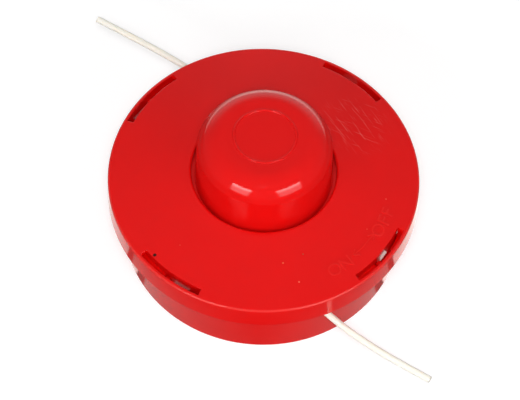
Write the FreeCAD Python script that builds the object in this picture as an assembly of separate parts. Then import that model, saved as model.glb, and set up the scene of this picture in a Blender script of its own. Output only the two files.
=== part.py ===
import FreeCAD, Part
import math
import os

# Bump feed trimmer head, millimetres, +Z up.
# The head stands on its machine side with the bump knob up, and the origin is the centre of its foot.

# Cover: shallow cone, skirt and centre hole
cover_radius = 55.0
skirt_wall = 1.3
skirt_height = 9.2
skirt_draft = 0.35
skirt_rounding = 0.4
skirt_gap = 0.3
cone_rise = 4.2
cover_thickness = 2.2
cover_rim_rounding = 0.7
hole_gap = 0.9
lip_rounding = 0.8
collar_depth = 3.2
collar_width = 4.0

# Case: cup, rim and shoulder
shoulder_overhang = 3.2
shoulder_height = 24.5
foot_taper = 1.7
foot_rounding = 1.5
case_wall = 2.4
case_floor = 3.0
rim_wall = 2.0
rim_gap = 0.9

# Case: hub and post on the machine's arbor
flange_seat_radius = 16.0
flange_seat_depth = 0.8
nut_across_flats = 16.0
nut_height = 8.0
nut_bore_radius = 4.4
nut_chamfer = 0.8
hub_wall = 2.2
hub_cap = 1.0
post_radius = 7.6
post_bore_radius = 5.4
arbor_reach = 18.0
post_setback = 2.8

# Bayonet: four slots, cover ledges below them with a stop rib, an outlet and an end rib, and case lugs
bayonet_count = 4
slot_angle = 53.3
slot_half_angle = 13.8
slot_width = 2.4
ledge_height = 2.6
lug_height = 2.4
lug_angle = 15.0
lug_end_gap_angle = 0.6
bayonet_gap = 0.3
stop_rib_start = 11.6
rib_angle = 2.0
outlet_angle = 8.0

# Spool: flanges, drum and hexagon drive
bump_travel = 6.0
flange_gap = 2.8
flange_thickness = 1.6
drum_wall = 2.4
drum_gap = 1.4
web_thickness = 2.0
drive_across_flats = 20.0
drive_height = 14.0
running_gap = 0.06
notch_count = 2
notch_width = 2.2
notch_depth = 3.0

# Stop teeth on the cover, on both faces of the spool and on the case's floor
tooth_count = 4
tooth_edge = 4.0
tooth_width = 6.0
tooth_length = 7.6
tooth_crest = 3.4
floor_tooth_height = 3.3
cover_tooth_height = 4.3
tooth_end_gap = 0.3
tooth_face_gap = 0.3
tooth_crest_gap = 0.6
tooth_angle = 8.0

# Spring and thrust washer
wire_diameter = 1.8
spring_turns = 3.5
steps_per_turn = 24
wire_sides = 12
spring_gap = 2.0
washer_edge = 1.0
washer_thickness = 1.0
washer_gap = 0.3
washer_stop_gap = 0.6
thrust_gap = 0.1

# Knob
knob_height = 59.0
knob_base_radius = 24.7
knob_crease_radius = 23.6
knob_crown_rise = 7.0
knob_flat_radius = 14.5
knob_wall = 2.3
knob_flange_overlap = 3.35
knob_flange_thickness = 2.0
socket_wall = 2.2
socket_gap = 0.15
socket_foot_gap = 1.6
ring_radius = 10.8
ring_width = 1.0
ring_height = 0.4

# Nylon line, its windings and the eyelets that it leaves through
line_diameter = 2.4
winding_layers = 7
winding_gap = 0.1
exit_drop = 2.1
exit_heading = -44.0
exit_lean = 20.76
eyelet_gap = 0.15
eyelet_wall = 0.5
eyelet_seat_depth = 1.4
eyelet_stand = 0.2
eyelet_flange_width = 0.8
eyelet_flange_thickness = 0.7

# Routes of the two line tails, from inside the eyelets to the cut ends, and an arc's share of a run
front_route = [(20.62, -45.44), (27.6, -52.2), (37.6, -59.7), (48.2, -66.5), (59.1, -72.7)]
back_route = [(-20.62, 45.44), (-25.7, 50.35), (-36.3, 57.6), (-50.3, 66.0), (-64.2, 73.8)]
arc_share = 0.45

# Radii that follow from the sizes above
skirt_inner_radius = cover_radius - skirt_wall
ledge_inner_radius = skirt_inner_radius - slot_width
rim_radius = ledge_inner_radius - bayonet_gap
rim_inner_radius = rim_radius - rim_wall
shoulder_radius = cover_radius - shoulder_overhang
foot_radius = shoulder_radius - foot_taper
cover_hole_radius = knob_base_radius + hole_gap
collar_radius = cover_hole_radius + collar_width
hub_radius = nut_across_flats / math.sqrt(3) + hub_wall
spring_mean_radius = hub_radius + spring_gap + wire_diameter / 2
washer_radius = spring_mean_radius + wire_diameter / 2 + washer_edge
drum_inner_radius = washer_radius + drum_gap
drum_radius = drum_inner_radius + drum_wall
flange_radius = foot_radius - case_wall - flange_gap
tooth_outer_radius = flange_radius - tooth_edge
tooth_inner_radius = tooth_outer_radius - tooth_width
line_radius = line_diameter / 2
winding_radius = drum_radius + winding_layers * line_diameter
eyelet_bore_radius = line_radius + eyelet_gap
eyelet_radius = eyelet_bore_radius + eyelet_wall
eyelet_flange_radius = eyelet_radius + eyelet_flange_width
exit_offset = shoulder_radius * math.sin(math.radians(exit_lean))

# Heights that follow from the sizes above
skirt_low = shoulder_height + skirt_gap
cover_rim_height = skirt_low + skirt_height
cover_lip_height = cover_rim_height + cone_rise
ledge_top = skirt_low + ledge_height
lug_low = ledge_top + bayonet_gap
lug_top = lug_low + lug_height
collar_low = cover_lip_height - collar_depth
knob_flange_top = collar_low - tooth_face_gap
nut_top = flange_seat_depth + nut_height
hub_top = nut_top + hub_cap
washer_low = hub_top + washer_stop_gap + bump_travel
web_low = washer_low + washer_thickness + thrust_gap
spool_low = case_floor + floor_tooth_height + bump_travel + tooth_face_gap
exit_height = shoulder_height - exit_drop
knob_crease_height = knob_height - knob_crown_rise

# Places along a line exit's axis, measured from the point nearest to the head's axis
eyelet_seat = math.sqrt((rim_inner_radius + eyelet_seat_depth) ** 2 - exit_offset ** 2)
eyelet_end = math.sqrt(shoulder_radius ** 2 - exit_offset ** 2) + eyelet_stand


def cover_top(radius):
    """Height of the cover's outer face at a radius."""
    slope = cone_rise / (cover_radius - cover_hole_radius)
    return cover_rim_height + slope * (cover_radius - radius)


def cover_underside(radius):
    """Height of the cover's inner face at a radius."""
    return cover_top(radius) - cover_thickness


# Heights that hang from the cover's inner face
rim_height = cover_underside(rim_inner_radius) - rim_gap
spool_top = cover_underside(tooth_outer_radius) - tooth_crest_gap - cover_tooth_height
chamber_width = (spool_top - spool_low - 3 * flange_thickness) / 2
post_height = spool_top + drive_height - post_setback

UP = FreeCAD.Vector(0, 0, 1)
CENTRE = FreeCAD.Vector(0, 0, 0)


def revolve(points):
    """Full turn of a closed outline given as (radius, height) points."""
    corners = [FreeCAD.Vector(radius, 0, height) for radius, height in points]
    outline = Part.makePolygon(corners + corners[:1])
    return Part.Face(outline).revolve(CENTRE, UP, 360)


def ring(inner, outer, low, high):
    """Plain ring between two radii and two heights."""
    return revolve([(inner, low), (outer, low), (outer, high), (inner, high)])


def rod(radius, low, high):
    """Upright round bar on the axis."""
    return Part.makeCylinder(radius, high - low, FreeCAD.Vector(0, 0, low))


def hexagon(across_flats, low, high):
    """Upright hexagon bar on the axis."""
    corner = across_flats / math.sqrt(3)
    points = []
    for step in range(7):
        angle = math.radians(60 * step)
        points.append(FreeCAD.Vector(corner * math.cos(angle), corner * math.sin(angle), low))
    return Part.Face(Part.makePolygon(points)).extrude(UP * (high - low))


def sector(inner, outer, low, high, start, sweep):
    """Piece of a ring that runs anticlockwise from a start angle, in degrees."""
    corners = [(inner, low), (outer, low), (outer, high), (inner, high), (inner, low)]
    outline = Part.makePolygon([FreeCAD.Vector(radius, 0, height) for radius, height in corners])
    piece = Part.Face(outline).revolve(CENTRE, UP, sweep)
    piece.rotate(CENTRE, UP, start)
    return piece


def around(piece, count):
    """Copies of a piece spread evenly round the axis."""
    copies = []
    for step in range(count):
        copy = piece.copy()
        copy.rotate(CENTRE, UP, 360 * step / count)
        copies.append(copy)
    return copies


def circles(shape, radius, height):
    """Circular edges of a shape with this radius, at this height, centred on the axis."""
    found = []
    for edge in shape.Edges:
        if edge.Curve.TypeId != "Part::GeomCircle":
            continue
        if abs(edge.Curve.Radius - radius) > 0.001:
            continue
        if abs(edge.Curve.Center.z - height) < 0.001:
            found.append(edge)
    return found


def tooth(root, height, angle, turn):
    """Stop tooth: an upright drive face at an angle, and a ramp down to the root on its other side.

    A positive height stands up from the root and a negative one hangs down from it. The tooth's body lies
    anticlockwise of its drive face where turn is 1, and clockwise where turn is -1.
    """
    crest = root + height
    outline = [(0, root), (0, crest), (turn * tooth_crest, crest), (turn * tooth_length, root), (0, root)]
    corners = [FreeCAD.Vector(tooth_inner_radius, along, level) for along, level in outline]
    body = Part.Face(Part.makePolygon(corners)).extrude(FreeCAD.Vector(tooth_width, 0, 0))
    body.rotate(CENTRE, UP, angle)
    return body


def on_exit(distance, turn):
    """Point on a line exit's axis, this far along it. The second exit is half a turn from the first."""
    heading = math.radians(exit_heading)
    along = FreeCAD.Vector(math.cos(heading), math.sin(heading), 0)
    across = FreeCAD.Vector(math.sin(heading), -math.cos(heading), 0)
    point = along * distance + across * exit_offset + UP * exit_height
    return FreeCAD.Rotation(UP, turn).multVec(point)


def exit_rod(radius, start, end, turn):
    """Round bar along a line exit's axis, from one place on it to another."""
    direction = on_exit(end, turn) - on_exit(start, turn)
    return Part.makeCylinder(radius, end - start, on_exit(start, turn), direction)


def make_case():
    """Cup with its hub and post, floor teeth, bayonet lugs and line exits."""
    taper = (shoulder_radius - foot_radius) / shoulder_height
    wall_inner = foot_radius - case_wall
    jog_top = shoulder_height - case_wall
    jog_low = jog_top - case_wall
    cup = revolve([
        (0, 0),
        (foot_radius, 0),
        (shoulder_radius, shoulder_height),
        (rim_radius, shoulder_height),
        (rim_radius, rim_height),
        (rim_inner_radius, rim_height),
        (rim_inner_radius, jog_top),
        (wall_inner + taper * jog_low, jog_low),
        (wall_inner + taper * case_floor, case_floor),
        (hub_radius, case_floor),
        (hub_radius, hub_top),
        (post_radius, hub_top),
        (post_radius, post_height),
        (0, post_height),
    ])
    cup = cup.makeFillet(foot_rounding, circles(cup, foot_radius, 0))
    lug_start = slot_angle - slot_half_angle + stop_rib_start - lug_end_gap_angle - lug_angle
    lug_outer = skirt_inner_radius - bayonet_gap
    lug = sector(rim_radius - rim_wall / 2, lug_outer, lug_low, lug_top, lug_start, lug_angle)
    half_pitch = 180 / tooth_count
    floor_tooth = tooth(case_floor, floor_tooth_height, tooth_angle + half_pitch, 1)
    cup = cup.fuse(around(lug, bayonet_count) + around(floor_tooth, tooth_count))
    cuts = [
        rod(flange_seat_radius, 0, flange_seat_depth),
        hexagon(nut_across_flats, flange_seat_depth, nut_top),
        rod(post_bore_radius, nut_top, nut_top + arbor_reach),
    ]
    for turn in (0, 180):
        cuts.append(exit_rod(eyelet_radius, eyelet_seat, shoulder_radius, turn))
        cuts.append(exit_rod(eyelet_flange_radius, eyelet_seat - 2 * case_wall, eyelet_seat, turn))
    return cup.cut(cuts).removeSplitter()


def make_arbor_nut():
    """Hexagon nut set in the case's hub from the machine side, chamfered at its mouth."""
    body = hexagon(nut_across_flats, flange_seat_depth, nut_top)
    body = body.cut(rod(nut_bore_radius, flange_seat_depth, nut_top))
    mouths = circles(body, nut_bore_radius, flange_seat_depth) + circles(body, nut_bore_radius, nut_top)
    return body.makeChamfer(nut_chamfer, mouths)


def make_eyelet(turn):
    """Flanged bush that lines a line exit, seated from inside the case."""
    flange_start = eyelet_seat - eyelet_flange_thickness
    flange = exit_rod(eyelet_flange_radius, flange_start, eyelet_seat, turn)
    tube = exit_rod(eyelet_radius, eyelet_seat, eyelet_end, turn)
    bore = exit_rod(eyelet_bore_radius, flange_start, eyelet_end, turn)
    return flange.fuse(tube).cut(bore).removeSplitter()


def wire_section(angle):
    """Round wire section of the spring where its helix has turned this far, in degrees."""
    height = case_floor + (washer_low - case_floor) * angle / (360 * spring_turns)
    points = []
    for step in range(wire_sides + 1):
        side = math.radians(360 * step / wire_sides)
        radius = spring_mean_radius + wire_diameter / 2 * math.cos(side)
        points.append(FreeCAD.Vector(radius, 0, height + wire_diameter / 2 * math.sin(side)))
    section = Part.makePolygon(points)
    section.rotate(CENTRE, UP, angle)
    return section


def make_spring():
    """Coil spring with both ends ground flat, from the case's floor to the washer."""
    steps = round(spring_turns * steps_per_turn)
    coil = Part.makeLoft([wire_section(360 * step / steps_per_turn) for step in range(steps + 1)], True, True)
    inner = spring_mean_radius - wire_diameter
    outer = spring_mean_radius + wire_diameter
    return coil.common(ring(inner, outer, case_floor, washer_low))


def make_thrust_washer():
    """Flat washer on the post, pushed up against the spool's web by the spring."""
    return ring(post_radius + washer_gap, washer_radius, washer_low, washer_low + washer_thickness)


def make_spool():
    """Two-chamber spool with a hexagon boss for the knob and stop teeth on both faces."""
    middle_low = spool_low + flange_thickness + chamber_width
    body = ring(drum_inner_radius, drum_radius, spool_low, spool_top)
    flanges = []
    for low in (spool_low, middle_low, spool_top - flange_thickness):
        flanges.append(ring(drum_inner_radius, flange_radius, low, low + flange_thickness))
    web = rod(drum_radius - drum_wall / 2, web_low, web_low + web_thickness)
    boss = hexagon(drive_across_flats, web_low, spool_top + drive_height)
    stop_angle = tooth_angle - math.degrees(tooth_end_gap / tooth_inner_radius)
    upper = around(tooth(spool_top, cover_tooth_height, stop_angle, -1), tooth_count)
    lower = around(tooth(spool_low, -floor_tooth_height, stop_angle, -1), tooth_count)
    body = body.fuse(flanges + [web, boss] + upper + lower)
    notch = Part.makeBox(notch_depth, notch_width, spool_top - spool_low)
    notch.translate(FreeCAD.Vector(flange_radius - notch_depth, -notch_width / 2, spool_low))
    middle_keeper = ring(drum_radius, flange_radius, middle_low, middle_low + flange_thickness)
    bore = rod(post_radius + running_gap, web_low, spool_top + drive_height)
    cuts = [piece.cut(middle_keeper) for piece in around(notch, notch_count)]
    return body.cut(cuts + [bore]).removeSplitter()


def make_winding(chamber_low):
    """Wound line in one chamber, its outer turns showing as two ridges."""
    low = chamber_low + winding_gap
    high = chamber_low + chamber_width - winding_gap
    inner = drum_radius + winding_gap
    valley = winding_radius - line_radius
    turn_width = (high - low) / 2
    outline = [(inner, high), (inner, low)]
    for start in (low, low + turn_width):
        outline.append((valley, start))
        outline.append((winding_radius, start + turn_width / 3))
        outline.append((winding_radius, start + turn_width * 2 / 3))
    outline.append((valley, high))
    return revolve(outline)


def knob_outline(inset):
    """Outer outline of the knob above its flange, or the same outline moved in by its wall."""
    base = FreeCAD.Vector(knob_base_radius - inset, 0, spool_top)
    crease = FreeCAD.Vector(knob_crease_radius - inset, 0, knob_crease_height)
    flat = FreeCAD.Vector(knob_flat_radius - inset / 2, 0, knob_height - inset)
    across = crease.x - flat.x
    drop = flat.z - crease.z
    radius = (across ** 2 + drop ** 2) / (2 * drop)
    half_turn = math.atan2(across, radius - drop) / 2
    centre = FreeCAD.Vector(flat.x, 0, flat.z - radius)
    middle = centre + FreeCAD.Vector(math.sin(half_turn), 0, math.cos(half_turn)) * radius
    crown = FreeCAD.Vector(0, 0, flat.z)
    foot = FreeCAD.Vector(0, 0, spool_top)
    edges = [
        Part.LineSegment(foot, base),
        Part.LineSegment(base, crease),
        Part.Arc(crease, middle, flat),
        Part.LineSegment(flat, crown),
        Part.LineSegment(crown, foot),
    ]
    return Part.Face(Part.Wire([edge.toShape() for edge in edges])).revolve(CENTRE, UP, 360)


def make_knob():
    """Domed cup with a holding flange, a hexagon socket and a raised ring on its top."""
    cup = knob_outline(0).cut(knob_outline(knob_wall))
    flange_low = knob_flange_top - knob_flange_thickness
    flange_outer = cover_hole_radius + knob_flange_overlap
    flange = ring(knob_base_radius - knob_wall, flange_outer, flange_low, knob_flange_top)
    socket_flats = drive_across_flats + 2 * socket_gap
    socket_radius = socket_flats / math.sqrt(3) + socket_wall
    socket = rod(socket_radius, spool_top + socket_foot_gap, knob_height - knob_wall / 2)
    socket = socket.cut(hexagon(socket_flats, spool_top, knob_height - knob_wall))
    raised_ring = revolve([
        (ring_radius - ring_width / 2, knob_height - ring_height),
        (ring_radius + ring_width / 2, knob_height - ring_height),
        (ring_radius + ring_width / 2, knob_height),
        (ring_radius + ring_width / 4, knob_height + ring_height),
        (ring_radius - ring_width / 4, knob_height + ring_height),
        (ring_radius - ring_width / 2, knob_height),
    ])
    return cup.fuse([flange, socket, raised_ring]).removeSplitter()


def make_cover():
    """Conical cover with its skirt, slots, bayonet ledges, stop ribs and hanging stop teeth."""
    body = revolve([
        (cover_hole_radius, cover_lip_height),
        (cover_hole_radius, collar_low),
        (collar_radius, collar_low),
        (collar_radius, cover_underside(collar_radius)),
        (skirt_inner_radius, cover_underside(skirt_inner_radius)),
        (skirt_inner_radius, skirt_low),
        (cover_radius + skirt_draft, skirt_low),
        (cover_radius, cover_rim_height),
    ])
    body = body.makeFillet(skirt_rounding, circles(body, cover_radius + skirt_draft, skirt_low))
    body = body.makeFillet(cover_rim_rounding, circles(body, cover_radius, cover_rim_height))
    body = body.makeFillet(lip_rounding, circles(body, cover_hole_radius, cover_lip_height))
    slot_start = slot_angle - slot_half_angle
    slot_sweep = 2 * slot_half_angle
    slot = sector(ledge_inner_radius, skirt_inner_radius, ledge_top, cover_lip_height, slot_start, slot_sweep)
    wall_middle = skirt_inner_radius + skirt_wall / 2
    plate_middle = cover_underside(skirt_inner_radius) + cover_thickness / 2
    stop_start = slot_start + stop_rib_start
    outlet_start = stop_start + rib_angle
    end_start = slot_start + slot_sweep
    ledge = sector(ledge_inner_radius, wall_middle, skirt_low, ledge_top, slot_start, slot_sweep)
    outlet = sector(ledge_inner_radius, skirt_inner_radius, skirt_low, ledge_top, outlet_start, outlet_angle)
    ledge = ledge.cut(outlet)
    stop_rib = sector(ledge_inner_radius, wall_middle, skirt_low, lug_top, stop_start, rib_angle)
    end_rib = sector(ledge_inner_radius, wall_middle, skirt_low, plate_middle, end_start, rib_angle)
    tooth_root = (cover_underside(tooth_inner_radius) + cover_top(tooth_outer_radius)) / 2
    tooth_tip = spool_top + tooth_face_gap
    stop_tooth = tooth(tooth_root, tooth_tip - tooth_root, tooth_angle, 1)
    body = body.cut(around(slot, bayonet_count))
    added = around(stop_tooth, tooth_count)
    for piece in (ledge, stop_rib, end_rib):
        added += around(piece, bayonet_count)
    return body.fuse(added).removeSplitter()


def make_tail(route, name):
    """Line tail as a round tube along straight runs and tangent arcs."""
    points = [FreeCAD.Vector(x, y, exit_height) for x, y in route]
    edges = []
    start = points[0]
    radii = []
    for before, corner, after in zip(points, points[1:], points[2:]):
        arriving = (corner - before).normalize()
        leaving = (after - corner).normalize()
        half_turn = arriving.getAngle(leaving) / 2
        setback = arc_share * min((corner - before).Length, (after - corner).Length)
        radius = setback / math.tan(half_turn)
        radii.append(round(radius, 1))
        inward = (leaving - arriving).normalize()
        middle = corner + inward * (radius / math.cos(half_turn) - radius)
        edges.append(Part.LineSegment(start, corner - arriving * setback).toShape())
        edges.append(Part.Arc(corner - arriving * setback, middle, corner + leaving * setback).toShape())
        start = corner + leaving * setback
    edges.append(Part.LineSegment(start, points[-1]).toShape())
    path = Part.Wire(edges)
    section = Part.Wire(Part.makeCircle(line_radius, points[0], points[1] - points[0]))
    tube = path.makePipeShell([section], True, False)
    expected = math.pi * line_radius ** 2 * path.Length
    share = round(tube.Volume / expected, 4)
    print(name, "length", round(path.Length, 2), "bend radii", radii, "volume share", share)
    return tube


def make_pieces():
    """Every piece of the head by its name."""
    lower_chamber = spool_low + flange_thickness
    upper_chamber = lower_chamber + chamber_width + flange_thickness
    return {
        "case": make_case(),
        "arbor_nut": make_arbor_nut(),
        "eyelet_front": make_eyelet(0),
        "eyelet_back": make_eyelet(180),
        "spring": make_spring(),
        "thrust_washer": make_thrust_washer(),
        "spool": make_spool(),
        "line_winding_lower": make_winding(lower_chamber),
        "line_winding_upper": make_winding(upper_chamber),
        "knob": make_knob(),
        "cover": make_cover(),
        "line_tail_front": make_tail(front_route, "line_tail_front"),
        "line_tail_back": make_tail(back_route, "line_tail_back"),
    }


os.makedirs("parts", exist_ok=True)
for name, piece in make_pieces().items():
    print(name, "valid", piece.isValid(), "solids", len(piece.Solids), "volume", round(piece.Volume, 1))
    piece.exportStep("parts/" + name + ".step")
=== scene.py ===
import math

import bmesh
import bpy
from mathutils import Matrix, Quaternion, Vector


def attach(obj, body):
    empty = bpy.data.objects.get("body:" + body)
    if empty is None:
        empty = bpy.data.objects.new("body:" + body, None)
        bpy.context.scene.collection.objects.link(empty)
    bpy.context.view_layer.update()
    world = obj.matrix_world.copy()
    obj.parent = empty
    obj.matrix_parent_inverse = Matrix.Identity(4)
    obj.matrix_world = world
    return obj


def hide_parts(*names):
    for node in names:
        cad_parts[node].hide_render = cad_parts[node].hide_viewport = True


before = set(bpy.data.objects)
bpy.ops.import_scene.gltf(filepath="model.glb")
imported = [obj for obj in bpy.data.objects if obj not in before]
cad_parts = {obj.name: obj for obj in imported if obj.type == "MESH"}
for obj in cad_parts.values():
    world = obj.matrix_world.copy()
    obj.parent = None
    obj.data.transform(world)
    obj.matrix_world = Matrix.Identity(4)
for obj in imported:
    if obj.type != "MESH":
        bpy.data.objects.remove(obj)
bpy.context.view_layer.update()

MM = 0.001

# Camera, in degrees and millimetres, set to the photograph's view of a cover 110 mm across
CAMERA_ELEVATION = 57.61
CAMERA_DISTANCE = 799.8
CAMERA_ROLL = 1.93
CAMERA_LENS = 156.76
CAMERA_LEVEL = 33.3
CAMERA_AIM = (-1.0, -9.94, CAMERA_LEVEL)

# Routes of the line tails from inside the eyelets to the cut ends, in metres
LINE_HEIGHT = 0.0224
LINE_DIAMETER = 0.0024
TAIL_ROUTES = {
    "front": [
        (0.02062, -0.04544),
        (0.0276, -0.0522),
        (0.0376, -0.0597),
        (0.0482, -0.0665),
        (0.0591, -0.0727),
    ],
    "back": [
        (-0.02062, 0.04544),
        (-0.0257, 0.05035),
        (-0.0363, 0.0576),
        (-0.0503, 0.0660),
        (-0.0642, 0.0738),
    ],
}

# Cover's cone, in millimetres: rim and lip as (radius, height)
COVER_RIM = (55.0, 34.0)
COVER_LIP = (25.6, 38.2)

# Raised marks on the cover, in millimetres and degrees: letters by polar angle, and the arrow
LETTERS = [("O", -56.2), ("N", -50.2), ("O", -28.2), ("F", -22.8), ("F", -18.2)]
LETTER_RADIUS = 46.2
LETTER_SIZE = 6.6
MARK_RISE = 0.12
MARK_SINK = 0.3
ARROW_RADIUS = 45.4
ARROW_START = -45.6
ARROW_SWEEP = 14.6
STROKE_WIDTH = 0.5
ARROW_BARB = 2.6
ARROW_BARB_ANGLE = 32.0
ARC_STEPS_PER_DEGREE = 2
WELD_GAP = 0.001

# Wear and painted light on the cover, in millimetres: a patch of scratches, each set with its direction
# in degrees and the noise level it starts at, a painted highlight line on the rim, and specks as (place,
# radius, colour)
# Pale tone of the scratches, also used for the painted highlight on the rim
RUBBED_AND_RIM_HIGHLIGHT_TONE = "F0827A"
SCUFF_CENTRE = (31.5, 21.0, 36.4)
SCUFF_INNER = 5.0
SCUFF_OUTER = 16.0
SCUFF_SETS = [(-55, 0.60), (-20, 0.64)]
SCUFF_LENGTHS = (7.0, 0.5, 7.0)
SCUFF_EDGE = 0.12
SCUFF_SHARE = 0.30
# Painted highlight on the rim: the radii and heights of its band, and its share of the pale tone
RIM_HIGHLIGHT_RADII = (54.35, 54.6)
RIM_HIGHLIGHT_HEIGHTS = (33.35, 33.6)
RIM_HIGHLIGHT_SHARE = 0.14
SPECK_CORE = 0.6
SPECKS = [
    ((-36.6, -34.6, 34.7), 0.75, "2A1210"),
    ((7.7, -37.0, 36.5), 0.33, "E87A56"),
    ((14.5, -33.3, 36.7), 0.33, "B8523C"),
    ((13.4, -43.6, 35.3), 0.36, "EC7C62"),
    ((-28.0, -31.0, 35.9), 0.28, "E64A3C"),
    ((43.1, -9.1, 35.6), 0.33, "E85A4C"),
    ((36.5, -21.8, 35.8), 0.28, "E64A3C"),
]

# Red plastic: its two tones, the lighter tones of the raised marks, painted as a highlight for the light
# their edges catch, and the share of light that soaks into walls
RED_TONES = ("DC0D0C", "E30F0E")
RAISED_HIGHLIGHT_TONES = ("E11814", "E81B16")
RED_SOAK = 0.3

# Painted glow of the slots, a lighter red painted where walls close a place in, for the light that
# bounces
# between them: its colour, the reach in millimetres within which walls close a place in, the open shares
# at which it is full and ends, and the radii at which it sets in, well outside the knob
PAINTED_SLOT_GLOW_TONE = "F00503"
RECESS_REACH = 3.0
RECESS_OPEN = (0.35, 0.8)
RECESS_RADII = (40.0, 42.0)

# Rounding that the light finds on moulded edges, in millimetres
MOULD_EDGE = 0.25

# Light of the room, the backdrop and the floor, where 1 is white
ROOM_LIGHT = 0.2
BACKDROP_LIGHT = 0.9
FLOOR_GLOW = 0.5

# Backdrop: the elevations in degrees over which it fades upwards, and how squarely behind it sets in
BACKDROP_FADE = (15, 60)
BACKDROP_BEHIND = (0.58, 0.95)

# Half the floor's side, in metres
FLOOR_HALF = 3.0

# Lamps, in degrees and metres: azimuth, elevation, distance, width, height, radiance, seen in gloss
LAMPS = {
    "key": (0, 58, 1.3, 0.26, 0.26, 43.0, False),
    "fill": (180, 60, 1.3, 0.9, 0.9, 0.4, False),
    "box_left": (-33, 22, 1.0, 0.46, 0.50, 4.0, True),
    "box_right": (39, 22, 1.0, 0.58, 0.50, 3.1, True),
}

# Boxes of light: their light at the foot and at the top, and the share of height from which it grows
BOX_LOW = 0.6
BOX_HIGH = 2.2
BOX_FADE_START = 0.5

# Floor as the gloss mirrors it, in millimetres. In front it is dark and grows paler towards the back and
# both sides. A dark strip runs straight across, and behind it the floor is bright, less so on the left.
# Beyond the reach, counted from the axis, it is bright straight behind and dim elsewhere.
MIRROR_SLANT = 0.78
MIRROR_FRONT = (-71.0, 15.0)
MIRROR_STRIP = (-26.8, -23.0)
MIRROR_EDGE = 1.0
MIRROR_SIDES = (-20.0, 20.0)
MIRROR_REACH = (66.0, 80.0)
MIRROR_FAR = (60.0, 220.0)
MIRROR_FAR_SLANT = -0.7
MIRROR_FRONT_GLOW = (0.0, 0.6)
MIRROR_STRIP_GLOW = 0.15
MIRROR_SIDE_GLOW = (1.1, 1.5)
MIRROR_FAR_GLOW = (0.1, 1.8)

# Sockets of the colour Mix node
MIX_FIRST = 6
MIX_SECOND = 7
MIX_RESULT = 2


def linear(code):
    """Linear colour of an sRGB hex code."""
    parts = []
    for place in (0, 2, 4):
        value = int(code[place:place + 2], 16) / 255
        parts.append(value / 12.92 if value <= 0.04045 else ((value + 0.055) / 1.055) ** 2.4)
    return (*parts, 1.0)


def add_node(tree, kind, sockets=None, **settings):
    """Adds a shader node with its settings. A socket takes a value, or an output to link to."""
    made = tree.nodes.new("ShaderNode" + kind)
    for name, value in settings.items():
        setattr(made, name, value)
    for name, value in (sockets or {}).items():
        if isinstance(value, bpy.types.NodeSocket):
            tree.links.new(value, made.inputs[name])
        else:
            made.inputs[name].default_value = value
    return made


def new_material(name):
    """Empty material, and its node tree."""
    material = bpy.data.materials.new(name)
    material.use_nodes = True
    material.node_tree.nodes.clear()
    return material, material.node_tree


def per_metre(size):
    """Texture scale for features of about this size in millimetres."""
    return 1 / (size * MM)


def in_metres(point):
    """Point in metres from one in millimetres."""
    return tuple(value * MM for value in point)


def add_scuffs(tree, place, colour):
    """Pale rubbed scratches in a patch of the cover, in two directions, over a base colour."""
    away = add_node(tree, "VectorMath", {0: place, 1: in_metres(SCUFF_CENTRE)}, operation="DISTANCE")
    patch = add_node(tree, "MapRange", {
        "Value": away.outputs["Value"],
        "From Min": SCUFF_INNER * MM,
        "From Max": SCUFF_OUTER * MM,
        "To Min": 1.0,
        "To Max": 0.0,
    }, interpolation_type="SMOOTHSTEP")
    for angle, least in SCUFF_SETS:
        turned = add_node(tree, "Mapping", {
            "Vector": place,
            "Rotation": (0, 0, math.radians(angle)),
            "Scale": in_metres(SCUFF_LENGTHS),
        }, vector_type="TEXTURE")
        streaks = add_node(tree, "TexNoise", {
            "Vector": turned.outputs["Vector"],
            "Scale": 1.0,
            "Detail": 1.0,
        })
        thin = add_node(tree, "MapRange", {
            "Value": streaks.outputs["Fac"],
            "From Min": least,
            "From Max": least + SCUFF_EDGE,
            "To Max": SCUFF_SHARE,
        })
        rubbed = add_node(tree, "Math", {
            0: thin.outputs["Result"],
            1: patch.outputs["Result"],
        }, operation="MULTIPLY")
        colour = add_node(tree, "Mix", {
            "Factor": rubbed.outputs[0],
            MIX_FIRST: colour,
            MIX_SECOND: linear(RUBBED_AND_RIM_HIGHLIGHT_TONE),
        }, data_type="RGBA").outputs[MIX_RESULT]
    return colour


def from_axis(tree, place):
    """Distance of a place from the head's axis, in metres."""
    flat = add_node(tree, "VectorMath", {0: place, 1: (1, 1, 0)}, operation="MULTIPLY")
    away = add_node(tree, "VectorMath", {0: flat.outputs["Vector"]}, operation="LENGTH")
    return away.outputs["Value"]


def add_rim_highlight(tree, place, colour):
    """Thin pale line painted along the rounding of the cover's rim as a painted highlight, over a base
    colour.
    """
    outside = add_node(tree, "MapRange", {
        "Value": from_axis(tree, place),
        "From Min": RIM_HIGHLIGHT_RADII[0] * MM,
        "From Max": RIM_HIGHLIGHT_RADII[1] * MM,
        "To Max": RIM_HIGHLIGHT_SHARE,
    })
    rubbed = add_node(tree, "MapRange", {
        "Value": add_node(tree, "SeparateXYZ", {"Vector": place}).outputs["Z"],
        "From Min": RIM_HIGHLIGHT_HEIGHTS[0] * MM,
        "From Max": RIM_HIGHLIGHT_HEIGHTS[1] * MM,
        "To Max": outside.outputs["Result"],
    })
    return add_node(tree, "Mix", {
        "Factor": rubbed.outputs["Result"],
        MIX_FIRST: colour,
        MIX_SECOND: linear(RUBBED_AND_RIM_HIGHLIGHT_TONE),
    }, data_type="RGBA").outputs[MIX_RESULT]


def add_specks(tree, place, colour):
    """Small dark and pale specks at their places on the cover, over a base colour."""
    for centre, radius, tint in SPECKS:
        away = add_node(tree, "VectorMath", {0: place, 1: in_metres(centre)}, operation="DISTANCE")
        spot = add_node(tree, "MapRange", {
            "Value": away.outputs["Value"],
            "From Min": radius * SPECK_CORE * MM,
            "From Max": radius * MM,
            "To Min": 1.0,
            "To Max": 0.0,
        })
        colour = add_node(tree, "Mix", {
            "Factor": spot.outputs["Result"],
            MIX_FIRST: colour,
            MIX_SECOND: linear(tint),
        }, data_type="RGBA").outputs[MIX_RESULT]
    return colour


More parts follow.
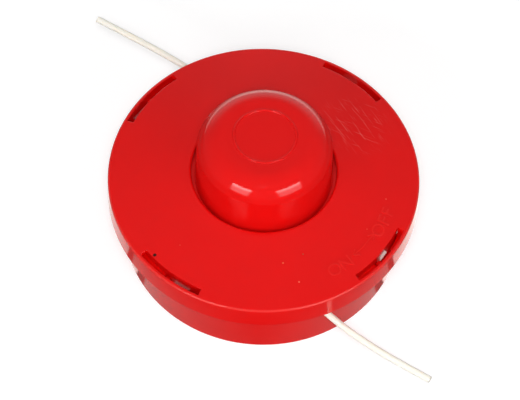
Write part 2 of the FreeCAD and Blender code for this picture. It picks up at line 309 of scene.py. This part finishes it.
def red_abs(name, tones, soak, worn_and_highlit=False):
    """Red ABS, injection moulded in a polished mould; on the cover, also scratches, specks and a painted
    rim highlight.
    """
    # The eye sees an even, saturated red under a hard clear gloss: lamps mirror with sharp corners,
    # edges carry a thin line of light, slots glow inside with a painted lighter red, and faces wave
    # where the plastic sank.
    # The grain in the gloss is drawn coarser than the real one, so that it shows.
    material, tree = new_material(name)
    place = add_node(tree, "TexCoord").outputs["Object"]
    sink = add_node(tree, "TexNoise", {"Vector": place, "Scale": per_metre(22), "Detail": 2.0})
    colour = add_node(tree, "Mix", {
        "Factor": sink.outputs["Fac"],
        MIX_FIRST: linear(tones[0]),
        MIX_SECOND: linear(tones[1]),
    }, data_type="RGBA").outputs[MIX_RESULT]
    # On the cover: scratches and specks, and a painted highlight along the rim
    if worn_and_highlit:
        colour = add_scuffs(tree, place, colour)
        colour = add_rim_highlight(tree, place, colour)
        colour = add_specks(tree, place, colour)
    # Painted light: slots and nooks away from the knob get a lighter red, for light bouncing between
    # their walls
    nook = add_node(tree, "AmbientOcclusion", {"Distance": RECESS_REACH * MM}, samples=8)
    painted_glow_share = add_node(tree, "MapRange", {
        "Value": nook.outputs["AO"],
        "From Min": RECESS_OPEN[0],
        "From Max": RECESS_OPEN[1],
        "To Min": 1.0,
        "To Max": 0.0,
    })
    slots = add_node(tree, "MapRange", {
        "Value": from_axis(tree, place),
        "From Min": RECESS_RADII[0] * MM,
        "From Max": RECESS_RADII[1] * MM,
        "To Max": painted_glow_share.outputs["Result"],
    })
    colour = add_node(tree, "Mix", {
        "Factor": slots.outputs["Result"],
        MIX_FIRST: colour,
        MIX_SECOND: linear(PAINTED_SLOT_GLOW_TONE),
    }, data_type="RGBA").outputs[MIX_RESULT]
    grain = add_node(tree, "TexNoise", {"Vector": place, "Scale": per_metre(0.7), "Detail": 3.0})
    gloss = add_node(tree, "MapRange", {"Value": grain.outputs["Fac"], "To Min": 0.05, "To Max": 0.11})
    edges = add_node(tree, "Bevel", {"Radius": MOULD_EDGE * MM}, samples=6)
    waves = add_node(tree, "Bump", {
        "Height": sink.outputs["Fac"],
        "Normal": edges.outputs["Normal"],
        "Strength": 0.10,
        "Distance": 0.2 * MM,
    })
    shader = add_node(tree, "BsdfPrincipled", {
        "Base Color": colour,
        "Roughness": gloss.outputs["Result"],
        "Normal": waves.outputs["Normal"],
        "IOR": 1.5,
        "Subsurface Weight": soak,
        "Subsurface Radius": (1.0, 0.05, 0.05),
        "Subsurface Scale": 2.5 * MM,
    })
    add_node(tree, "OutputMaterial", {"Surface": shader.outputs["BSDF"]})
    return material


def nylon_line():
    """Natural nylon monofilament, extruded and drawn."""
    # The eye sees milky white that light soaks into, and a long dull gleam down the line.
    # The marks of drawing are coarser than the real ones, so that they show.
    material, tree = new_material("natural_nylon_monofilament")
    place = add_node(tree, "TexCoord").outputs["Object"]
    cloud = add_node(tree, "TexNoise", {"Vector": place, "Scale": per_metre(4), "Detail": 2.0})
    colour = add_node(tree, "Mix", {
        "Factor": cloud.outputs["Fac"],
        MIX_FIRST: linear("FBF3E3"),
        MIX_SECOND: linear("FFFAEF"),
    }, data_type="RGBA")
    drawn = add_node(tree, "TexNoise", {"Vector": place, "Scale": per_metre(0.5), "Detail": 2.0})
    gloss = add_node(tree, "MapRange", {"Value": drawn.outputs["Fac"], "To Min": 0.30, "To Max": 0.45})
    shader = add_node(tree, "BsdfPrincipled", {
        "Base Color": colour.outputs[MIX_RESULT],
        "Roughness": gloss.outputs["Result"],
        "IOR": 1.53,
        "Subsurface Weight": 0.4,
        "Subsurface Radius": (1.0, 0.92, 0.84),
        "Subsurface Scale": 1.0 * MM,
    })
    add_node(tree, "OutputMaterial", {"Surface": shader.outputs["BSDF"]})
    return material


def black_nylon():
    """Black nylon, injection moulded with a fine spark-eroded texture."""
    # The eye sees near-black with a dull grey sheen that breaks up into grain.
    # The grain is drawn coarser than the real one, so that it shows.
    material, tree = new_material("black_nylon_moulded")
    place = add_node(tree, "TexCoord").outputs["Object"]
    grain = add_node(tree, "TexNoise", {"Vector": place, "Scale": per_metre(0.5), "Detail": 3.0})
    gloss = add_node(tree, "MapRange", {"Value": grain.outputs["Fac"], "To Min": 0.38, "To Max": 0.58})
    bump = add_node(tree, "Bump", {
        "Height": grain.outputs["Fac"],
        "Strength": 0.25,
        "Distance": 0.05 * MM,
    })
    shader = add_node(tree, "BsdfPrincipled", {
        "Base Color": linear("1C1D1F"),
        "Roughness": gloss.outputs["Result"],
        "Normal": bump.outputs["Normal"],
        "IOR": 1.53,
    })
    add_node(tree, "OutputMaterial", {"Surface": shader.outputs["BSDF"]})
    return material


def streaked_metal(name, dark, light, gloss_range, streak, squeeze):
    """Metal that varies in streaks of a size in millimetres, squeezed along each axis."""
    material, tree = new_material(name)
    place = add_node(tree, "TexCoord").outputs["Object"]
    drawn = add_node(tree, "Mapping", {"Vector": place, "Scale": squeeze})
    streaks = add_node(tree, "TexNoise", {
        "Vector": drawn.outputs["Vector"],
        "Scale": per_metre(streak),
        "Detail": 4.0,
    })
    colour = add_node(tree, "Mix", {
        "Factor": streaks.outputs["Fac"],
        MIX_FIRST: linear(dark),
        MIX_SECOND: linear(light),
    }, data_type="RGBA")
    gloss = add_node(tree, "MapRange", {
        "Value": streaks.outputs["Fac"],
        "To Min": gloss_range[0],
        "To Max": gloss_range[1],
    })
    bump = add_node(tree, "Bump", {
        "Height": streaks.outputs["Fac"],
        "Strength": 0.15,
        "Distance": 0.03 * MM,
    })
    shader = add_node(tree, "BsdfPrincipled", {
        "Base Color": colour.outputs[MIX_RESULT],
        "Metallic": 1.0,
        "Roughness": gloss.outputs["Result"],
        "Normal": bump.outputs["Normal"],
    })
    add_node(tree, "OutputMaterial", {"Surface": shader.outputs["BSDF"]})
    return material


def zinc_plated_steel():
    """Steel bar stock, cut and bright zinc plated."""
    # The eye sees pale bluish grey with cloudy patches where the plating took unevenly.
    return streaked_metal("zinc_plated_steel", "B4B6B6", "CFCFCB", (0.22, 0.40), 2.5, (1, 1, 1))


def spring_steel():
    """Hard-drawn spring wire, lightly oiled."""
    # The eye sees darker grey with fine drawing lines that run round the coils.
    return streaked_metal("drawn_spring_steel", "77787A", "96958F", (0.25, 0.42), 1.5, (1, 1, 5))


def turned_aluminium():
    """Aluminium, turned on a lathe and left bright."""
    # The eye sees light silver with fine bright and dull bands from the tool.
    return streaked_metal("turned_aluminium", "CDCED1", "E0E1E3", (0.14, 0.30), 0.8, (1, 1, 1))


def dress(node, material):
    """Gives a node of the frame its material."""
    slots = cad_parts[node].data.materials
    slots.clear()
    slots.append(material)


def add_piece(name, shape, material, body):
    """Piece from a bmesh that rides on a body and takes the given material."""
    mesh = bpy.data.meshes.new(name)
    shape.to_mesh(mesh)
    shape.free()
    mesh.materials.append(material)
    piece = bpy.data.objects.new(name, mesh)
    bpy.context.scene.collection.objects.link(piece)
    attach(piece, body)


def cone_height(radius):
    """Height of the cover's outer face at a radius, in millimetres."""
    slope = (COVER_LIP[1] - COVER_RIM[1]) / (COVER_RIM[0] - COVER_LIP[0])
    return COVER_RIM[1] + slope * (COVER_RIM[0] - radius)


def on_cone(radius, polar):
    """Frame on the cover's outer face: X runs anticlockwise, Y up to the hub and Z out of the face."""
    turn = math.radians(polar)
    out = Vector((math.cos(turn), math.sin(turn), 0))
    along = Vector((-math.sin(turn), math.cos(turn), 0))
    rise = cone_height(radius - 1) - cone_height(radius)
    to_hub = (Vector((0, 0, rise)) - out).normalized()
    normal = along.cross(to_hub)
    place = out * radius + Vector((0, 0, cone_height(radius)))
    axes = Matrix((along, to_hub, normal)).transposed().to_4x4()
    return Matrix.Translation(place * MM) @ axes


def add_letter(shape, letter, polar):
    """Adds one raised letter to the cover's marks, its top towards the hub."""
    text = bpy.data.curves.new("letter", "FONT")
    text.body = letter
    text.size = LETTER_SIZE * MM
    text.align_x = "CENTER"
    text.align_y = "CENTER"
    text.extrude = (MARK_RISE + MARK_SINK) / 2 * MM
    text.resolution_u = 6
    holder = bpy.data.objects.new("letter", text)
    bpy.context.scene.collection.objects.link(holder)
    graph = bpy.context.evaluated_depsgraph_get()
    flat = bpy.data.meshes.new_from_object(holder.evaluated_get(graph))
    bpy.data.objects.remove(holder)
    bpy.data.curves.remove(text)
    lift = Matrix.Translation((0, 0, (MARK_RISE - MARK_SINK) / 2 * MM))
    flat.transform(on_cone(LETTER_RADIUS, polar) @ lift)
    shape.from_mesh(flat)
    bpy.data.meshes.remove(flat)


def add_bar(shape, place, length, turn):
    """Adds a raised straight stroke that starts at a place and runs off at a turn in degrees."""
    size = Matrix.Diagonal((length * MM, STROKE_WIDTH * MM, (MARK_RISE + MARK_SINK) * MM, 1))
    middle = Matrix.Translation((length / 2 * MM, 0, (MARK_RISE - MARK_SINK) / 2 * MM))
    spun = Matrix.Rotation(math.radians(turn), 4, "Z")
    bmesh.ops.create_cube(shape, size=1, matrix=place @ spun @ middle @ size)


def add_arc(shape, radius, start, sweep):
    """Adds a raised stroke on the cover that runs round the axis at a radius."""
    inner = radius - STROKE_WIDTH / 2
    outer = radius + STROKE_WIDTH / 2
    corners = [
        (inner, cone_height(inner) - MARK_SINK),
        (outer, cone_height(outer) - MARK_SINK),
        (outer, cone_height(outer) + MARK_RISE),
        (inner, cone_height(inner) + MARK_RISE),
    ]
    turn = Matrix.Rotation(math.radians(start), 3, "Z")
    verts = [shape.verts.new(turn @ Vector((out * MM, 0, level * MM))) for out, level in corners]
    section = shape.faces.new(verts)
    bmesh.ops.spin(shape, geom=[section], cent=(0, 0, 0), axis=(0, 0, 1), angle=math.radians(sweep),
                   steps=round(sweep * ARC_STEPS_PER_DEGREE), use_merge=False)


def add_cover_marks(material):
    """ON and OFF with the arrow between them, raised on the cover."""
    shape = bmesh.new()
    for letter, polar in LETTERS:
        add_letter(shape, letter, polar)
    add_arc(shape, ARROW_RADIUS, ARROW_START, ARROW_SWEEP)
    for polar, back in ((ARROW_START, 0), (ARROW_START + ARROW_SWEEP, 180)):
        for side in (-1, 1):
            add_bar(shape, on_cone(ARROW_RADIUS, polar), ARROW_BARB, back + side * ARROW_BARB_ANGLE)
    bmesh.ops.remove_doubles(shape, verts=shape.verts, dist=WELD_GAP * MM)
    bmesh.ops.recalc_face_normals(shape, faces=shape.faces)
    add_piece("cover_marks", shape, material, "cover")


def add_tail(name, material):
    """Nylon tail that leaves an eyelet and ends where it was cut."""
    curve = bpy.data.curves.new("tail_" + name, "CURVE")
    curve.dimensions = "3D"
    curve.bevel_depth = LINE_DIAMETER / 2
    curve.bevel_resolution = 6
    curve.resolution_u = 24
    curve.use_fill_caps = True
    spline = curve.splines.new("NURBS")
    route = TAIL_ROUTES[name]
    spline.points.add(len(route) - 1)
    for point, (x, y) in zip(spline.points, route):
        point.co = (x, y, LINE_HEIGHT, 1.0)
    spline.order_u = 3
    spline.use_endpoint_u = True
    curve.materials.append(material)
    tail = bpy.data.objects.new("tail_" + name, curve)
    bpy.context.scene.collection.objects.link(tail)
    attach(tail, "case")
    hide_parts("line_tail_" + name)


def add_camera():
    """Camera at the photograph's viewing angle."""
    elevation = math.radians(CAMERA_ELEVATION)
    ahead = CAMERA_DISTANCE * math.cos(elevation)
    above = CAMERA_DISTANCE * math.sin(elevation)
    place = Vector((0, -ahead, CAMERA_LEVEL + above)) * MM
    look = (Vector(CAMERA_AIM) * MM - place).to_track_quat("-Z", "Y")
    roll = Quaternion((0, 0, 1), math.radians(CAMERA_ROLL))
    camera = bpy.data.objects.new("camera", bpy.data.cameras.new("camera"))
    camera.data.lens = CAMERA_LENS
    camera.location = place
    camera.rotation_mode = "QUATERNION"
    camera.rotation_quaternion = look @ roll
    bpy.context.scene.collection.objects.link(camera)
    bpy.context.scene.camera = camera


def add_lamp(name, azimuth, elevation, distance, width, height, radiance, in_gloss):
    """Flat lamp aimed at the head. Azimuth 0 is the camera's side and grows to its right.

    A lamp that shows in the gloss is a box of light, brighter towards its top.
    """
    turn = math.radians(azimuth)
    rise = math.radians(elevation)
    out = Vector((math.sin(turn) * math.cos(rise), -math.cos(turn) * math.cos(rise), math.sin(rise)))
    light = bpy.data.lights.new(name, "AREA")
    light.shape = "RECTANGLE"
    light.size = width
    light.size_y = height
    light.energy = radiance * math.pi * width * height
    if in_gloss:
        light.use_nodes = True
        tree = light.node_tree
        tree.nodes.clear()
        across = add_node(tree, "NewGeometry").outputs["Parametric"]
        spread = add_node(tree, "SeparateXYZ", {"Vector": across})
        fall = add_node(tree, "MapRange", {
            "Value": spread.outputs["Y"],
            "From Min": BOX_FADE_START,
            "To Min": BOX_LOW,
            "To Max": BOX_HIGH,
        }, interpolation_type="SMOOTHSTEP")
        glow = add_node(tree, "Emission", {"Strength": fall.outputs["Result"]})
        add_node(tree, "OutputLight", {"Surface": glow.outputs["Emission"]})
    lamp = bpy.data.objects.new(name, light)
    lamp.location = out * distance + Vector((0, 0, CAMERA_LEVEL * MM))
    lamp.rotation_mode = "QUATERNION"
    lamp.rotation_quaternion = (-out).to_track_quat("-Z", "Y")
    lamp.visible_glossy = in_gloss
    lamp.visible_camera = False
    bpy.context.scene.collection.objects.link(lamp)


def add_world():
    """Dim room with a pale backdrop behind the head, and white where the camera sees it."""
    world = bpy.data.worlds.new("studio")
    world.use_nodes = True
    tree = world.node_tree
    tree.nodes.clear()
    direction = add_node(tree, "TexCoord").outputs["Generated"]
    way = add_node(tree, "SeparateXYZ", {"Vector": direction})
    low = add_node(tree, "MapRange", {
        "Value": way.outputs["Z"],
        "From Min": math.sin(math.radians(BACKDROP_FADE[0])),
        "From Max": math.sin(math.radians(BACKDROP_FADE[1])),
        "To Min": 1.0,
        "To Max": 0.0,
    }, interpolation_type="SMOOTHSTEP")
    behind = add_node(tree, "MapRange", {
        "Value": way.outputs["Y"],
        "From Min": BACKDROP_BEHIND[0],
        "From Max": BACKDROP_BEHIND[1],
    }, interpolation_type="SMOOTHSTEP")
    pale = add_node(tree, "Math", {
        0: low.outputs["Result"],
        1: behind.outputs["Result"],
    }, operation="MULTIPLY")
    room = add_node(tree, "MapRange", {
        "Value": pale.outputs[0],
        "To Min": ROOM_LIGHT,
        "To Max": BACKDROP_LIGHT,
    })
    path = add_node(tree, "LightPath")
    shown = add_node(tree, "Math", {
        0: room.outputs["Result"],
        1: path.outputs["Is Camera Ray"],
    }, operation="MAXIMUM")
    light = add_node(tree, "Background", {"Color": linear("FFFFFF"), "Strength": shown.outputs[0]})
    add_node(tree, "OutputWorld", {"Surface": light.outputs["Background"]})
    bpy.context.scene.world = world


def mirrored_light(tree):
    """Strength of the light that the gloss mirrors from each place on the floor."""
    place = add_node(tree, "TexCoord").outputs["Object"]
    parts = add_node(tree, "SeparateXYZ", {"Vector": place})
    off_middle = add_node(tree, "Math", {0: parts.outputs["X"]}, operation="ABSOLUTE").outputs[0]
    across = add_node(tree, "Math", {
        0: off_middle,
        1: MIRROR_SLANT,
        2: parts.outputs["Y"],
    }, operation="MULTIPLY_ADD").outputs[0]
    front = add_node(tree, "MapRange", {
        "Value": across,
        "From Min": MIRROR_FRONT[0] * MM,
        "From Max": MIRROR_FRONT[1] * MM,
        "To Min": MIRROR_FRONT_GLOW[0],
        "To Max": MIRROR_FRONT_GLOW[1],
    })
    strip = add_node(tree, "MapRange", {
        "Value": parts.outputs["Y"],
        "From Min": (MIRROR_STRIP[0] - MIRROR_EDGE) * MM,
        "From Max": MIRROR_STRIP[0] * MM,
        "To Min": front.outputs["Result"],
        "To Max": MIRROR_STRIP_GLOW,
    })
    side = add_node(tree, "MapRange", {
        "Value": parts.outputs["X"],
        "From Min": MIRROR_SIDES[0] * MM,
        "From Max": MIRROR_SIDES[1] * MM,
        "To Min": MIRROR_SIDE_GLOW[0],
        "To Max": MIRROR_SIDE_GLOW[1],
    })
    bands = add_node(tree, "MapRange", {
        "Value": parts.outputs["Y"],
        "From Min": MIRROR_STRIP[1] * MM,
        "From Max": (MIRROR_STRIP[1] + MIRROR_EDGE) * MM,
        "To Min": strip.outputs["Result"],
        "To Max": side.outputs["Result"],
    })
    behind = add_node(tree, "Math", {
        0: off_middle,
        1: MIRROR_FAR_SLANT,
        2: parts.outputs["Y"],
    }, operation="MULTIPLY_ADD")
    far = add_node(tree, "MapRange", {
        "Value": behind.outputs[0],
        "From Min": MIRROR_FAR[0] * MM,
        "From Max": MIRROR_FAR[1] * MM,
        "To Min": MIRROR_FAR_GLOW[0],
        "To Max": MIRROR_FAR_GLOW[1],
    })
    near = add_node(tree, "MapRange", {
        "Value": from_axis(tree, place),
        "From Min": MIRROR_REACH[0] * MM,
        "From Max": MIRROR_REACH[1] * MM,
        "To Min": bands.outputs["Result"],
        "To Max": far.outputs["Result"],
    })
    return near.outputs["Result"]


def add_floor():
    """Pale floor that looks white and keeps a soft shadow, and shows bands of light in the gloss."""
    shape = bmesh.new()
    bmesh.ops.create_grid(shape, x_segments=1, y_segments=1, size=FLOOR_HALF)
    mesh = bpy.data.meshes.new("floor")
    shape.to_mesh(mesh)
    shape.free()
    floor = bpy.data.objects.new("floor", mesh)
    bpy.context.scene.collection.objects.link(floor)
    material, tree = new_material("floor_paper")
    path = add_node(tree, "LightPath")
    paper = add_node(tree, "BsdfDiffuse", {"Color": linear("D0D0D0")})
    glow = add_node(tree, "Math", {
        0: path.outputs["Is Camera Ray"],
        1: FLOOR_GLOW,
    }, operation="MULTIPLY")
    white = add_node(tree, "Emission", {"Color": linear("FFFFFF"), "Strength": glow.outputs[0]})
    lit = add_node(tree, "AddShader", {0: paper.outputs["BSDF"], 1: white.outputs["Emission"]})
    mirror = add_node(tree, "Emission", {
        "Color": linear("FFF6F0"),
        "Strength": mirrored_light(tree),
    })
    mirrored = add_node(tree, "Math", {
        0: path.outputs["Is Glossy Ray"],
        1: path.outputs["Is Transmission Ray"],
    }, operation="MAXIMUM")
    both = add_node(tree, "MixShader", {
        "Fac": mirrored.outputs[0],
        1: lit.outputs["Shader"],
        2: mirror.outputs["Emission"],
    })
    add_node(tree, "OutputMaterial", {"Surface": both.outputs["Shader"]})
    mesh.materials.append(material)


add_camera()
red = red_abs("red_abs_polished", RED_TONES, RED_SOAK)
worn_highlit_red = red_abs("red_abs_worn_highlit", RED_TONES, RED_SOAK, worn_and_highlit=True)
# The raised marks get lighter tones, a painted highlight for the light their edges catch
highlit_mark_red = red_abs("red_abs_raised_highlit", RAISED_HIGHLIGHT_TONES, 0.0)
nylon = nylon_line()
zinc = zinc_plated_steel()
aluminium = turned_aluminium()
dress("case", red)
dress("knob", red)
dress("cover", worn_highlit_red)
dress("spool", black_nylon())
dress("arbor_nut", zinc)
dress("thrust_washer", zinc)
dress("spring", spring_steel())
dress("eyelet_front", aluminium)
dress("eyelet_back", aluminium)
dress("line_winding_lower", nylon)
dress("line_winding_upper", nylon)
add_cover_marks(highlit_mark_red)
for tail_name in TAIL_ROUTES:
    add_tail(tail_name, nylon)
add_floor()
add_world()
for lamp_name, lamp_values in LAMPS.items():
    add_lamp(lamp_name, *lamp_values)

bpy.context.scene.view_settings.view_transform = "Standard"
